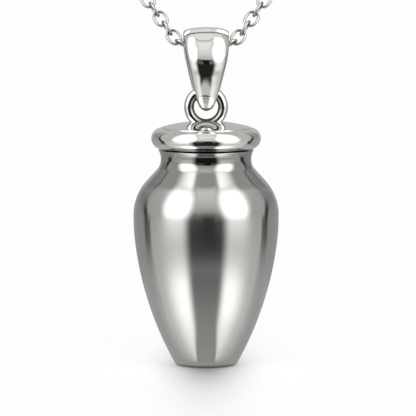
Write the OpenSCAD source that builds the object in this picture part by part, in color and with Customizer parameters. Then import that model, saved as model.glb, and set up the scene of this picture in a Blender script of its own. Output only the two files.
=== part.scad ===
// Keepsake urn pendant on a cable chain necklace. Millimetres, +Z up.
// The origin is at the nape, in the middle of the clasp, where the worn necklace hangs.
// The pendant hangs in front, toward -Y, and is modelled from the urn's base plane upward.

/* [Urn] */
// Radius of the urn at its widest place
body_r = 9.08; // [8:0.02:11]
// Height of the widest place above the base plane
belly_z = 18.9; // [17.5:0.1:19.5]
// Radius at which the side's arc meets the base plane, before the foot is rounded
base_r = 3.73; // [3:0.01:5]
// Radius of the short arc of the side next to the widest place
belly_arc_r = 28.65; // [22:0.05:34]
// Angle that the short arc covers
belly_arc_deg = 7.5; // [4:0.5:10]
// Rounding of the foot
foot_fillet = 0.75; // [0.3:0.05:1]
// Radius of the shoulder's arc
shoulder_r = 6.4; // [5.4:0.05:6.6]
// Radius of the neck at its narrowest
neck_r = 5.65; // [5.3:0.01:5.9]
// Height of the narrowest place of the neck
neck_z = 25.9; // [25.4:0.05:26.2]
// Share of the way from shoulder to neck that is curved, with a straight cone in the middle
neck_blend = 0.943; // [0.92:0.005:0.99]
// Radius of the arc that flares from the neck to the lip
flare_r = 2.32; // [1.8:0.02:3]
// Height of the lip, the urn's top
lip_z = 27.13; // [26.9:0.01:27.5]
// Thickness of the urn's wall
wall = 1.2; // [0.8:0.05:1.6]
// Thickness of the urn's floor
floor_t = 1.8; // [1.2:0.1:3]
// Height at which the chamber stops following the outside
chamber_z = 20.6; // [19.8:0.1:21.4]
// Slope of the chamber's ceiling
ceiling_deg = 25; // [15:1:30]
// Radius of the filling bore in the neck
bore_r = 3.6; // [3.2:0.05:4]

/* [Lid] */
// Seam between the lid and the lip
seam = 0.1; // [0.06:0.01:0.2]
// Radius of the circle that the bead's middle follows
bead_ring_r = 5.56; // [5.3:0.01:5.8]
// Radius of the bead round the lid
bead_r = 1.285; // [1:0.005:1.5]
// Radius of the dome on the lid
dome_r = 5.6; // [5.2:0.01:5.8]
// Rise of the dome over its edge
dome_h = 0.78; // [0.4:0.01:1.2]
// Height of the dome's edge above the bead
dome_step = 0.08; // [0.04:0.01:0.2]
// Length of the plug that closes the neck
plug_l = 3.2; // [2.4:0.1:3.6]
// Gap between the plug and the bore, round about
plug_gap = 0.12; // [0.08:0.01:0.25]

/* [Ring] */
// Radius of the circle that the ring's wire follows
ring_r = 2.12; // [2:0.01:2.4]
// Thickness of the ring's wire
ring_wire = 1.24; // [1:0.02:1.4]
// Depth by which the ring is let into the lid
ring_sink = 0.96; // [0.6:0.02:1.2]

/* [Bail] */
// Length of the bail from top to tip
bail_l = 10.5; // [10:0.1:12]
// Half of the bail's width at the top
bail_half_w = 2.8; // [2.6:0.02:2.9]
// Half of the width at the tip that the sides run down to
tip_half_w = 0.75; // [0.65:0.01:0.85]
// Swell of the bail's sides
side_swell = 0.46; // [0.35:0.01:0.55]
// Height over which the tip is rounded
tip_round = 0.3; // [0.2:0.05:0.5]
// Half of the bail's depth where it is deepest
bail_half_d = 3.3; // [3.1:0.05:3.6]
// Radius of the front's arc, seen from the side
face_arc_r = 4.4; // [4.2:0.05:6]
// Lean of the straight stretch between the front's arc and the tip
lean_deg = 21; // [18:0.5:24]
// Slope of the front's arc at the crease under the roll
crease_deg = 60.5; // [57:0.5:63]
// Radius of the roll along the bail's top edge
roll_r = 0.61; // [0.52:0.01:0.7]
// Slope of the roll where it rises from the crease
roll_deg = 5; // [0:1:15]
// Depth of the dome across the front below its arc, in half-widths
dome_low = 0.5; // [0.4:0.01:0.52]
// Depth of the dome at the crease, in half-widths
dome_high = 0.25; // [0.22:0.01:0.28]
// Drop of the roll toward both ends, in half-widths
roll_drop = 0.2; // [0.15:0.01:0.22]
// Depth of the chain hole's centre below the bail's top
hole_drop = 2.75; // [2.7:0.05:2.9]
// Radius of the hole for the chain
hole_r = 1.48; // [1.44:0.02:1.52]
// Radius of the saddle that holds the ring
saddle_r = 0.85; // [0.78:0.01:1]
// Height of the saddle's middle above the ring's wire
saddle_lift = 0.25; // [0.15:0.05:0.4]
// Gap between the bail and the ring
ring_gap = 0.15; // [0.1:0.01:0.18]
// Thickness of the bail under the saddle
tip_t = 1.9; // [1.6:0.05:2.1]
// Turn of the bail on its chain
bail_turn = 4.5; // [0:0.5:6]

/* [Chain] */
// Outer length of a link
link_l = 2.34; // [2.24:0.02:2.4]
// Outer width of a link
link_w = 1.8; // [1.6:0.02:1.84]
// Thickness of a link's wire
wire_d = 0.36; // [0.3:0.02:0.38]
// Play between one link and the next
play = 0.14; // [0.12:0.01:0.2]
// Height of the chain's middle above the centre of the bail's hole
chain_sit = 0.3; // [0.2:0.02:0.34]
// Turn of every link about the chain, near side up
link_turn = 18; // [0:1:25]
// Links to each side of the middle one that are modelled one by one
front_half = 80; // [20:2:100]

/* [Clasp] */
// Width of the clasp
clasp_w = 4.2; // [3.4:0.1:6]
// Thickness of the clasp's wire
clasp_wire = 0.9; // [0.6:0.05:0.95]
// Shortest length of the clasp
clasp_min_l = 8; // [6:0.5:12]

/* [Hidden] */
$fn = 48;
steel = [0.78, 0.78, 0.77];
// Route of the chain's right half, from under the bail to the nape: x, y, z and the bend's radius
ROUTE = [
    [0, -100, -122, 0],
    [3.26, -100, -122, 3.26],
    [64, -63, -36, 44],
    [58, 0, 0, 38],
    [0, 0, 0, 0]
];
BEND_STEPS = 24;

// Points along an arc round centre c
function arc(c, r, a0, a1, steps) =
    [for (i = [0:steps]) let (a = a0 + (a1 - a0) * i / steps) c + r * [cos(a), sin(a)]];

function unit(v) = v / norm(v);

// The side of the urn: a short arc at the belly and a long one down to the base, tangent to each other
belly_c = [body_r - belly_arc_r, belly_z];
belly_u = [cos(belly_arc_deg), -sin(belly_arc_deg)];
belly_end = belly_c + belly_arc_r * belly_u;
side_d = belly_end - [base_r, 0];
side_r = side_d * side_d / (2 * (belly_u * side_d));
side_c = belly_end - side_r * belly_u;
foot_c = [side_c.x + sqrt((side_r - foot_fillet) ^ 2 - (foot_fillet - side_c.y) ^ 2), foot_fillet];
foot_a = atan2(foot_c.y - side_c.y, foot_c.x - side_c.x);

// The shoulder's arc and the neck's hollow arc, joined by a straight cone that touches both
neck_in = body_r - neck_r;
neck_up = neck_z - belly_z;
neck_arc_r = neck_blend * (neck_in ^ 2 + neck_up ^ 2) / (2 * neck_in) - shoulder_r;
shoulder_c = [body_r - shoulder_r, belly_z];
neck_c = [neck_r + neck_arc_r, neck_z];
neck_d = neck_c - shoulder_c;
shoulder_a = atan2(neck_d.y, neck_d.x) - acos((shoulder_r + neck_arc_r) / norm(neck_d));
flare_a = asin((lip_z - neck_z) / flare_r);

urn_outline = concat(
    [[0, 0]],
    arc(foot_c, foot_fillet, -90, foot_a, 6),
    arc(side_c, side_r, foot_a, -belly_arc_deg, 18),
    arc(belly_c, belly_arc_r, -belly_arc_deg, 0, 5),
    arc(shoulder_c, shoulder_r, 0, shoulder_a, 12),
    arc(neck_c, neck_arc_r, shoulder_a + 180, 180, 8),
    arc([neck_r + flare_r, neck_z], flare_r, 180, 180 - flare_a, 6),
    [[0, lip_z]]
);

// The chamber inside: the same arcs, one wall further in, under a sloping ceiling
chamber_low_a = asin((floor_t - side_c.y) / (side_r - wall));
chamber_high_a = asin((chamber_z - belly_z) / (shoulder_r - wall));
chamber_top_r = shoulder_c.x + (shoulder_r - wall) * cos(chamber_high_a);
bore_z = chamber_z + (chamber_top_r - bore_r) * tan(ceiling_deg);
chamber_outline = concat(
    [[0, floor_t]],
    arc(side_c, side_r - wall, chamber_low_a, -belly_arc_deg, 12),
    arc(belly_c, belly_arc_r - wall, -belly_arc_deg, 0, 4),
    arc(shoulder_c, shoulder_r - wall, 0, chamber_high_a, 6),
    [[bore_r, bore_z], [bore_r, lip_z + 1], [0, lip_z + 1]]
);

// The lid: a plug, the bead round its rim and the dome
bead_z = lip_z + seam + bead_r;
lid_under = bead_z - bead_r;
dome_edge = bead_z + bead_r + dome_step;
dome_arc_r = (dome_r ^ 2 + dome_h ^ 2) / (2 * dome_h);
dome_top = dome_edge + dome_h;
plug_r = bore_r - plug_gap;
lid_outline = concat(
    [[0, lid_under - plug_l], [plug_r, lid_under - plug_l], [plug_r, lid_under]],
    arc([bead_ring_r, bead_z], bead_r, -90, acos((dome_r - bead_ring_r) / bead_r), 20),
    arc([0, dome_top - dome_arc_r], dome_arc_r, 90 - asin(dome_r / dome_arc_r), 90, 8)
);
ring_z = dome_top - ring_sink + ring_r + ring_wire / 2;

// Heights along the bail, from the urn's base plane
saddle_z = ring_z + ring_r + saddle_lift;
tip_low = ring_z + ring_r - ring_wire / 2 - ring_gap - tip_t;
bail_top = tip_low + bail_l;
hole_z = bail_top - hole_drop;

// The bail from the side, [half-depth, height]: a round tip, a straight stretch that touches it
// and the front's arc, and a roll that rises from the arc in a crease
face_c = [
    bail_half_d - face_arc_r,
    bail_top - roll_r * (1 - sin(roll_deg)) - face_arc_r * sin(crease_deg)
];
face_low = face_c + face_arc_r * [cos(lean_deg), -sin(lean_deg)];
tip_r = (face_low * [cos(lean_deg), -sin(lean_deg)] + tip_low * sin(lean_deg)) / (1 - sin(lean_deg));
tip_c = [0, tip_low + tip_r];
crease = face_c + face_arc_r * [cos(crease_deg), sin(crease_deg)];
roll_c = crease - roll_r * [cos(roll_deg), sin(roll_deg)];

// Where the pendant hangs
base_z = ROUTE[0].z - chain_sit - hole_z;

// The chain's links follow one another at this spacing
pitch = link_l - 2 * wire_d - play;

// The route as a fine line: each bend is an arc between the two straight stretches it joins
function bend(a, p, b, r) =
    let (u = unit(p - a), v = unit(b - p), turn = acos(u * v), t = r * tan(turn / 2),
         side = unit(v - u), c = p + side * norm([r, t]), w = unit(u - side * (u * side)))
    [for (i = [0:BEND_STEPS])
        let (k = -turn / 2 + turn * i / BEND_STEPS) c + r * (w * sin(k) - side * cos(k))];
function place(i) = [ROUTE[i][0], ROUTE[i][1], ROUTE[i][2]];
last = len(ROUTE) - 1;
line = concat(
    [place(0)],
    [for (i = [1:last - 1]) each bend(place(i - 1), place(i), place(i + 1), ROUTE[i][3])],
    [place(last)]
);
steps = [for (i = [1:len(line) - 1]) norm(line[i] - line[i - 1])];
reach = [for (i = 0, s = 0; i < len(line); s = s + (i < len(steps) ? steps[i] : 0), i = i + 1) s];
half_l = reach[len(line) - 1];
axis_table = [for (k = [0:2]) [for (i = [0:len(line) - 1]) [reach[i], line[i][k]]]];

// The point at a distance s along the chain from its middle, to the right where s is above zero
function at(s) =
    let (d = abs(s)) [sign(s) * lookup(d, axis_table[0]), lookup(d, axis_table[1]), lookup(d, axis_table[2])];

// Away from the middle of the neck, square to the chain
neck_mid = [0, (ROUTE[0].y + ROUTE[last].y) / 2, 0];
function outward(p, along) =
    let (o = [p.x, p.y - neck_mid.y, 0]) unit(o - along * (o * along));

// The clasp takes what an even number of links to each side leaves over
links_half = 2 * floor((half_l - clasp_min_l / 2) / (2 * pitch));
clasp_hook = (link_l - wire_d) / 2 - (wire_d + clasp_wire) / 2 - play;
clasp_l = 2 * (half_l - links_half * pitch - clasp_hook) + clasp_wire;

module at_pendant() {
    translate([0, ROUTE[0].y, base_z]) children();
}

module urn() {
    color(steel)
    at_pendant()
    difference() {
        rotate_extrude() polygon(urn_outline);
        rotate_extrude() polygon(chamber_outline);
    }
}

// The ring on the lid, or the room that it needs
module ring(gap) {
    translate([0, 0, ring_z])
        rotate([90, 0, 0])
            rotate_extrude() translate([ring_r, 0]) circle(r = ring_wire / 2 + gap);
}

module lid() {
    color(steel)
    at_pendant()
    union() {
        rotate_extrude() polygon(lid_outline);
        ring(0);
    }
}

// A drop: two circles, one above the other, with straight sides that touch both
function drop_outline(z_high, r_high, z_low, r_low) =
    let (lean = asin((r_high - r_low) / (z_high - z_low)))
    concat(
        arc([0, z_high], r_high, -lean, 180 + lean, 24),
        arc([0, z_low], r_low, 180 + lean, 360 - lean, 16)
    );

// Half of the bail's width at height z: straight sides with a swell, and a round tip
function half_w(z) =
    let (up = (z - tip_low) / bail_l, low = max(0, 1 - (z - tip_low) / tip_round))
    (tip_half_w + (bail_half_w - tip_half_w) * up + 4 * side_swell * up * (1 - up)) * sqrt(1 - low ^ 2);

// A row of the bail's front, across at the point p of its side view. The dome across it is half an
// ellipse, which sets the row back toward both edges along the slope a, or down for the roll.
FACE_STEPS = 8;
function front_row(p, a, depth) =
    let (w = half_w(p.y))
    [for (i = [0:FACE_STEPS])
        let (t = 180 * i / FACE_STEPS - 90, back = depth * w * (1 - cos(t)))
        [w * sin(t), back * cos(a) - p.x, p.y - back * sin(a)]];
function dome(a) = dome_low + (dome_high - dome_low) * max(0, a) / crease_deg;
function face_rows(c, r, a0, a1, steps) =
    [for (i = [0:steps])
        let (a = a0 + (a1 - a0) * i / steps) front_row(c + r * [cos(a), sin(a)], a, dome(a))];
function roll_rows(a0, a1, steps) =
    [for (i = [0:steps])
        let (a = a0 + (a1 - a0) * i / steps) front_row(roll_c + roll_r * [cos(a), sin(a)], 90, roll_drop)];
tip_end = tip_c + tip_r * [cos(lean_deg), -sin(lean_deg)];
rows = concat(
    face_rows(tip_c, tip_r, -84, -lean_deg, 8),
    [for (i = [1:3]) front_row(tip_end + (face_low - tip_end) * i / 4, -lean_deg, dome_low)],
    face_rows(face_c, face_arc_r, -lean_deg, crease_deg, 10),
    roll_rows(roll_deg, 90, 5)
);

// The bail without its holes: the rows of the front, and the same rows mirrored for the back
module bail_blank() {
    n = 2 * (FACE_STEPS + 1);
    points = [for (row = rows)
        each concat(row, [for (i = [FACE_STEPS:-1:0]) [row[i].x, -row[i].y, row[i].z]])];
    walls = [for (i = [0:len(rows) - 2], j = [0:n - 1])
        let (k = (j + 1) % n) [i * n + j, (i + 1) * n + j, (i + 1) * n + k, i * n + k]];
    low = [for (j = [0:FACE_STEPS - 1]) [j, j + 1, n - 2 - j, n - 1 - j]];
    top = (len(rows) - 1) * n;
    high = [for (f = low) [for (i = [3:-1:0]) top + f[i]]];
    polyhedron(points, concat(walls, low, high));
}

module bail() {
    color(steel)
    at_pendant()
    difference() {
        rotate([0, 0, bail_turn])
            difference() {
                bail_blank();
                rotate([90, 0, 90])
                    linear_extrude(4 * bail_half_w, center = true)
                        polygon(drop_outline(hole_z, hole_r, saddle_z, saddle_r));
            }
        ring(ring_gap);
    }
}

// One link, or the clasp: two round ends joined by straight legs, lying in the XY plane along X
module oval(length, width, wire) {
    bend_r = (width - wire) / 2;
    leg = length - width;
    for (side = [-1, 1]) {
        translate([side * leg / 2, 0, 0])
            rotate([0, 0, -90 * side])
                rotate_extrude(angle = 180, $fn = 32) translate([bend_r, 0]) circle(d = wire, $fn = 16);
        translate([-leg / 2, side * bend_r, 0])
            rotate([0, 90, 0]) cylinder(h = leg, d = wire, $fn = 16);
    }
}

// Link number k, counted from the middle one, every second one turned on edge
module link(k) {
    a = at((k - 0.5) * pitch);
    b = at((k + 0.5) * pitch);
    mid = (a + b) / 2;
    x = unit(b - a);
    away = outward(mid, x);
    out = away * cos(link_turn) - cross(x, away) * sin(link_turn);
    z = k % 2 == 0 ? cross(x, out) : out;
    y = cross(z, x);
    multmatrix([
        [x.x, y.x, z.x, mid.x],
        [x.y, y.y, z.y, mid.y],
        [x.z, y.z, z.z, mid.z],
        [0, 0, 0, 1]
    ])
        oval(link_l, link_w, wire_d);
}

module chain_front() {
    color(steel)
    for (k = [-front_half:front_half]) link(k);
}

// The chain behind the neck, as a tube of the links' width
tube_start = front_half * pitch + link_l / 2 + play;
tube_end = half_l - clasp_l / 2 - play;
tube_rings = 24;
tube_sides = 8;
function tube_ring(s, side) =
    let (p = at(side * s), q = at(side * (s + 0.5)), o = at(side * (s - 0.5)), along = unit(q - o),
         out = outward(p, along), up = cross(along, out) * side)
    [for (j = [0:tube_sides - 1])
        let (a = (j + 0.5) * 360 / tube_sides) p + link_w / 2 * (out * cos(a) + up * sin(a))];

module tube(side) {
    n = tube_sides;
    pts = [for (i = [0:tube_rings - 1])
        each tube_ring(tube_start + (tube_end - tube_start) * i / (tube_rings - 1), side)];
    walls = [for (i = [0:tube_rings - 2], j = [0:n - 1])
        let (k = (j + 1) % n) [i * n + j, i * n + k, (i + 1) * n + k, (i + 1) * n + j]];
    ends = [[for (j = [n - 1:-1:0]) j], [for (j = [0:n - 1]) (tube_rings - 1) * n + j]];
    faces = concat(walls, ends);
    polyhedron(pts, side > 0 ? faces : [for (f = faces) [for (i = [len(f) - 1:-1:0]) f[i]]]);
}

module chain_back() {
    color(steel) {
        tube(1);
        tube(-1);
    }
}

module clasp() {
    color(steel)
    rotate([90, 0, 0]) oval(clasp_l, clasp_w, clasp_wire);
}

urn();
lid();
bail();
chain_front();
chain_back();
clasp();
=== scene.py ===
# %% [markdown]
# # A keepsake urn pendant in polished steel
# The pendant is a small turned urn with a screw-in lid. A ring on the lid hangs in a tapered bail, and the
# bail hangs on a cable chain. Steel has hardly any colour of its own: what we see is the studio, mirrored.
# So two things decide the picture: clean curves, and a studio with the right light and dark places.
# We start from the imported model, which fixes every size and place, and only dress it.

# %% The frame
from math import acos, asin, atan2, cos, degrees, hypot, pi, radians, sin, sqrt, tan

import bmesh
import bpy
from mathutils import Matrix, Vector


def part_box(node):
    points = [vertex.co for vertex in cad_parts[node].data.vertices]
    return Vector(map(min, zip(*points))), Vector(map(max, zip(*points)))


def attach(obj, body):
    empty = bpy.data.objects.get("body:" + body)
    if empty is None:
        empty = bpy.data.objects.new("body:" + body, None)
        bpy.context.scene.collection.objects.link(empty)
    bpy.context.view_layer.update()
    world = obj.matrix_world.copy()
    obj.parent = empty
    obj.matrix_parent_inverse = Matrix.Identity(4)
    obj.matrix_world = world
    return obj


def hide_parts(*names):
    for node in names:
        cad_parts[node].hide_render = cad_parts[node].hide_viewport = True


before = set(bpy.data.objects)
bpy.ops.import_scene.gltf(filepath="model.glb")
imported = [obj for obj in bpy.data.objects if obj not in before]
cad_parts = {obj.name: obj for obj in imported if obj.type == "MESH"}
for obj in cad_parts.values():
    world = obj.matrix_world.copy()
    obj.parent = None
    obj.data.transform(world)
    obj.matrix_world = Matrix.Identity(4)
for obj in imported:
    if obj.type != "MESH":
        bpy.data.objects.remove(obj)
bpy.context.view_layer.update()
MM = 0.001
urn_low, urn_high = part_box("urn")
PENDANT = Vector((0, (urn_low.y + urn_high.y) / 2, urn_low.z))  # the middle of the urn's foot
print("foot of the urn at", [round(c / MM, 3) for c in PENDANT], "mm")

# %% [markdown]
# ## Camera
# A product photographer stands far back with a long lens, so that the urn keeps its true outline. The lens
# follows from the field we want: 52 mm across at a distance of 1 m. The camera looks slightly down.

# %% Camera
FIELD = 52 * MM
DISTANCE = 1.0
LOOK_DOWN = radians(5.5)
SENSOR_MM = 36
VIEW_MIDDLE = Vector((0.24, 0, 19.76)) * MM  # the middle of the picture, seen from the foot


def add_object(name, data):
    """an object for a mesh or a camera, placed in the scene"""
    made = bpy.data.objects.new(name, data)
    bpy.context.scene.collection.objects.link(made)
    return made


camera_data = bpy.data.cameras.new("camera")
camera_data.sensor_width = SENSOR_MM
camera_data.lens = SENSOR_MM * DISTANCE / FIELD
camera = add_object("camera", camera_data)
back = Vector((0, -cos(LOOK_DOWN), sin(LOOK_DOWN)))
camera.location = PENDANT + VIEW_MIDDLE + back * DISTANCE
camera.rotation_euler = (-back).to_track_quat("-Z", "Y").to_euler()
bpy.context.scene.camera = camera
print("lens", round(camera_data.lens), "mm")

# %% [markdown]
# ## A helper for node trees
# Materials and Geometry Nodes are both trees of nodes. `put` makes one node, fills its inputs with values or
# with another node's output, and returns it, so that a tree reads from top to bottom like a recipe. Some
# nodes keep several sockets of one name, one for each type of data, and only the enabled one counts.

# %% Node helpers
def socket(sockets, key):
    """a socket by its number, or the enabled one by its name"""
    return sockets[key] if isinstance(key, int) else next(s for s in sockets if s.name == key and s.enabled)


def put(tree, kind, inputs=None, **settings):
    made = tree.nodes.new(kind)
    for name, value in settings.items():
        setattr(made, name, value)
    for key, value in (inputs or {}).items():
        if isinstance(value, bpy.types.NodeSocket):
            tree.links.new(value, socket(made.inputs, key))
        else:
            socket(made.inputs, key).default_value = value
    return made


def math(tree, operation, a, b=0.0):
    return put(tree, "ShaderNodeMath", {0: a, 1: b}, operation=operation).outputs[0]


def vector_math(tree, operation, a, b=(0, 0, 0)):
    made = put(tree, "ShaderNodeVectorMath", {0: a, 1: b}, operation=operation)
    return made.outputs["Value" if operation == "LENGTH" else "Vector"]


def blend_between(tree, value, low, high, out_low=0.0, out_high=1.0):
    ranges = {"Value": value, "From Min": low, "From Max": high, "To Min": out_low, "To Max": out_high}
    return put(tree, "ShaderNodeMapRange", ranges, interpolation_type="SMOOTHSTEP").outputs[0]


def mixed(tree, share, a, b, data_type="FLOAT", **settings):
    """a where the share is 0, b where it is 1"""
    node = put(tree, "ShaderNodeMix", {"Factor": share, "A": a, "B": b}, data_type=data_type, **settings)
    return socket(node.outputs, "Result")


def ramp_of(tree, value, stops):
    """a colour that follows a value through stops, each a place from 0 to 1 and a colour"""
    ramp = put(tree, "ShaderNodeValToRGB", {"Fac": value})
    elements = ramp.color_ramp.elements
    while len(elements) < len(stops):
        elements.new(0.5)  # anywhere, because the next lines move it
    for element, (place, colour) in zip(elements, stops):
        element.position, element.color = place, colour
    return ramp.outputs["Color"]


# %% [markdown]
# ## The room
# The view settings stay plain, so that white stays white. The world plays three parts, told apart by the kind
# of ray that meets it: a white backdrop for the camera, an even light on the floor, and a grey room in the
# reflections.

# %% World
bpy.context.scene.view_settings.view_transform = "Standard"
WHITE = 0.985
FLOOR_ALBEDO = 0.9
FROM_BELOW = 0.7  # the share of the floor's brightness that comes through the paper
ROOM_GREYS = [(0.0, 0.40), (0.5, 0.42), (0.75, 0.50), (0.93, 0.52), (1.0, 0.62)]  # height of the ray, grey
ROOM_WARMTH = 0.985


def plain(value):
    return (value, value, value, 1)


def grey(value):
    """a grey with the faint warmth of the room"""
    return (value, value, value * ROOM_WARMTH, 1)


world = bpy.data.worlds.new("room")
bpy.context.scene.world = world
world.use_nodes = True
tree = world.node_tree
tree.nodes.clear()
ray = put(tree, "ShaderNodeLightPath")
to_camera = put(tree, "ShaderNodeBackground", {"Color": plain(WHITE)})
to_floor = put(tree, "ShaderNodeBackground", {"Color": plain(1),
                                              "Strength": WHITE * (1 - FROM_BELOW) / FLOOR_ALBEDO})
way = put(tree, "ShaderNodeTexCoord").outputs["Generated"]
height = put(tree, "ShaderNodeSeparateXYZ", {"Vector": way}).outputs["Z"]
stops = [(place, grey(value)) for place, value in ROOM_GREYS]
walls = ramp_of(tree, blend_between(tree, height, -1.0, 1.0), stops)
to_steel = put(tree, "ShaderNodeBackground", {"Color": walls})
seen = to_floor
for kind, room in [("Is Camera Ray", to_camera), ("Is Glossy Ray", to_steel)]:
    seen = put(tree, "ShaderNodeMixShader", {0: ray.outputs[kind], 1: seen.outputs[0], 2: room.outputs[0]})
put(tree, "ShaderNodeOutputWorld", {"Surface": seen.outputs[0]})
print("world with", len(ROOM_GREYS), "greys")

# %% [markdown]
# ## The floor
# The pendant stands on white paper over a light table, as small silver things are often photographed. Most
# of the floor's brightness comes through the paper. The foot leaves a soft shade in front of it, which the
# floor's shader lays down as a blur: a bell curve across and a slow fade toward us. It belongs to the paper,
# so it stays in its place when the pendant swings.

# %% Floor
def mesh_piece(name, verts, faces, material=None, smooth=True):
    mesh = bpy.data.meshes.new(name)
    mesh.from_pydata([tuple(v) for v in verts], [], faces)
    if smooth:
        mesh.shade_smooth()
    if material:
        mesh.materials.append(material)
    return add_object(name, mesh)


def square_sheet(name, half, z, material):
    corners = [(x * half, y * half, z) for x, y in [(-1, -1), (1, -1), (1, 1), (-1, 1)]]
    return mesh_piece(name, corners, [(0, 1, 2, 3)], material, smooth=False)


def new_material(name):
    material = bpy.data.materials.new(name)
    material.use_nodes = True
    return material, material.node_tree


FLOOR_HALF = 6.0
FLOOR_DROP = 0.02 * MM
SHADE, SHADE_WIDTH, SHADE_LENGTH = 0.9, 4.2 * MM, 18 * MM
SHADE_TINT = (0, 0, 0.01, 1)
paper, tree = new_material("floor_paper")
shader = tree.nodes["Principled BSDF"]
shader.inputs["Roughness"].default_value = 1
shader.inputs["Specular IOR Level"].default_value = 0
shader.inputs["Emission Strength"].default_value = WHITE * FROM_BELOW
spot = put(tree, "ShaderNodeSeparateXYZ", {"Vector": put(tree, "ShaderNodeTexCoord").outputs["Object"]})
across = math(tree, "DIVIDE", spot.outputs["X"], SHADE_WIDTH)
ahead = math(tree, "ABSOLUTE", math(tree, "SUBTRACT", spot.outputs["Y"], PENDANT.y))
fall = math(tree, "ADD", math(tree, "MULTIPLY", across, across), math(tree, "DIVIDE", ahead, SHADE_LENGTH))
shade = math(tree, "MULTIPLY", math(tree, "EXPONENT", math(tree, "MULTIPLY", fall, -1.0)), SHADE)
lit_paper = mixed(tree, shade, plain(1), SHADE_TINT, "RGBA")
tree.links.new(lit_paper, shader.inputs["Emission Color"])
seen_paper = mixed(tree, 1.0, lit_paper, plain(FLOOR_ALBEDO), "RGBA", blend_type="MULTIPLY")
tree.links.new(seen_paper, shader.inputs["Base Color"])
floor_z = PENDANT.z - FLOOR_DROP
floor = square_sheet("floor", FLOOR_HALF, floor_z, paper)
floor.visible_glossy = False
print("floor at", round(floor_z / MM, 2), "mm")

# %% [markdown]
# ## The cards that the steel mirrors
# Around the pendant stand cards that only reflections see: two tall soft boxes that lean over it, a dark side
# where the camera and the photographer stand, a light above that, side walls with a thin dark gap, a backdrop
# and a ceiling. They could be lamps, but a card's shape, level by level, is what polished steel shows. Each
# card is a few levels, in degrees above and round the pendant, with the brightness at each level. The soft
# boxes also fade toward their sides. Some cards come in mirrored pairs.

# %% Studio cards
CARD_DISTANCE = 0.5
CARD_STEPS = 24
FADE, FADED = 0.32, 0.7  # a soft box fades over this share of its width, to this brightness at its edge
HORIZON, DARK_TOP = -2.5, 12  # in degrees: the lower edge of most cards, and the upper edge of the dark ones
STUDIO_HEIGHT = 22 * MM
STUDIO = PENDANT + Vector((0, 0, STUDIO_HEIGHT))
# each level: height in degrees, from and to in degrees round from the camera's side, brightness
PAIRED_CARDS = {
    "soft_box": [(HORIZON, 30, 74, 1.2), (4, 26, 77, 2.2), (12, 21, 80, 3.2), (30, 16, 83, 3.2),
                 (45, 16, 88, 2.8), (54, 18, 98, 1.9), (60, 24, 110, 1.6), (65, 30, 114, 1.8),
                 (68, 34, 116, 2.4), (76, 54, 120, 2.2)],
    "gap": [(HORIZON, 105, 116, 0.04), (5, 108, 120, 0.06), (18, 117, 124, 0.16), (30, 123, 129, 0.2),
            (42, 130, 135, 0.3)],
    "side_wall": [(HORIZON, 72, 112, 0.56), (30, 76, 121, 0.58), (50, 84, 128, 0.58), (62, 98, 131, 0.55)],
    "back_side": [(HORIZON, 112, 152, 0.4), (12, 116, 153, 0.3), (30, 124, 154, 0.42), (42, 128, 155, 0.6),
                  (62, 131, 156, 0.65)],
}
CARDS = {
    "dark_left": [(HORIZON, -30, -3, 0.13), (DARK_TOP, -30, -8, 0.10)],
    "dark_middle": [(HORIZON, -3, 13, 0.01), (DARK_TOP, -8, 13, 0.01)],
    "dark_right": [(HORIZON, 13, 30, 0.2), (DARK_TOP, 13, 30, 0.12)],
    "front_light": [(DARK_TOP, -32, 32, 0.55), (30, -32, 32, 0.78), (50, -32, 32, 0.95), (62, -50, 50, 1.0),
                    (72, -70, 70, 0.9), (76, -80, 80, 0.55), (80, -90, 90, 0.6)],
    "backdrop": [(HORIZON, 150, 210, 0.5), (20, 152, 208, 0.56), (60, 155, 205, 0.56)],
    "ceiling": [(62, -180, 180, 0.8), (82, -180, 180, 0.95), (89, -180, 180, 0.95)],
}



def emit(tree, strength):
    light = put(tree, "ShaderNodeEmission", {"Color": grey(1.0), "Strength": strength})
    put(tree, "ShaderNodeOutputMaterial", {"Surface": light.outputs[0]})


card_paper, tree = new_material("studio_card")
tree.nodes.clear()
emit(tree, put(tree, "ShaderNodeAttribute", attribute_name="glow").outputs["Fac"])


def store(mesh, name, values, kind="FLOAT", domain="POINT"):
    """keeps one value for each point or edge of a mesh, under a name that shaders and nodes can read"""
    mesh.attributes.new(name, kind, domain).data.foreach_set("value", values)


def only_for_reflections(card):
    card.visible_camera = card.visible_diffuse = card.visible_shadow = False
    card.visible_transmission = card.visible_volume_scatter = False


def between(a, b, share):
    return a + (b - a) * share


def level_at(levels, up):
    """the level at a share of the card's height, between the two nearest ones"""
    place = levels[0][0] + (levels[-1][0] - levels[0][0]) * up
    k = next((k for k in range(len(levels) - 1) if place <= levels[k + 1][0]), len(levels) - 2)
    share = (place - levels[k][0]) / (levels[k + 1][0] - levels[k][0])
    return [between(a, b, share) for a, b in zip(levels[k], levels[k + 1])]


def studio_card(name, reach, levels, side=1, fades=False):
    n = CARD_STEPS
    verts, values = [], []
    for j in range(n + 1):
        el, start, end, value = level_at(levels, j / n)
        for i in range(n + 1):
            az, up = radians(side * between(start, end, i / n)), radians(el)
            verts.append(STUDIO + reach * Vector((sin(az) * cos(up), -cos(az) * cos(up), sin(up))))
            inward = min(1, min(i, n - i) / n / FADE) if fades else 1
            smooth = inward ** 2 * (3 - 2 * inward)
            values.append(between(FADED * min(1, value), value, smooth))
    faces = [(j * (n + 1) + i, j * (n + 1) + i + 1, (j + 1) * (n + 1) + i + 1, (j + 1) * (n + 1) + i)
             for j in range(n) for i in range(n)]
    card = mesh_piece(name, verts, faces, card_paper, smooth=False)
    store(card.data, "glow", values)
    only_for_reflections(card)


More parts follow.
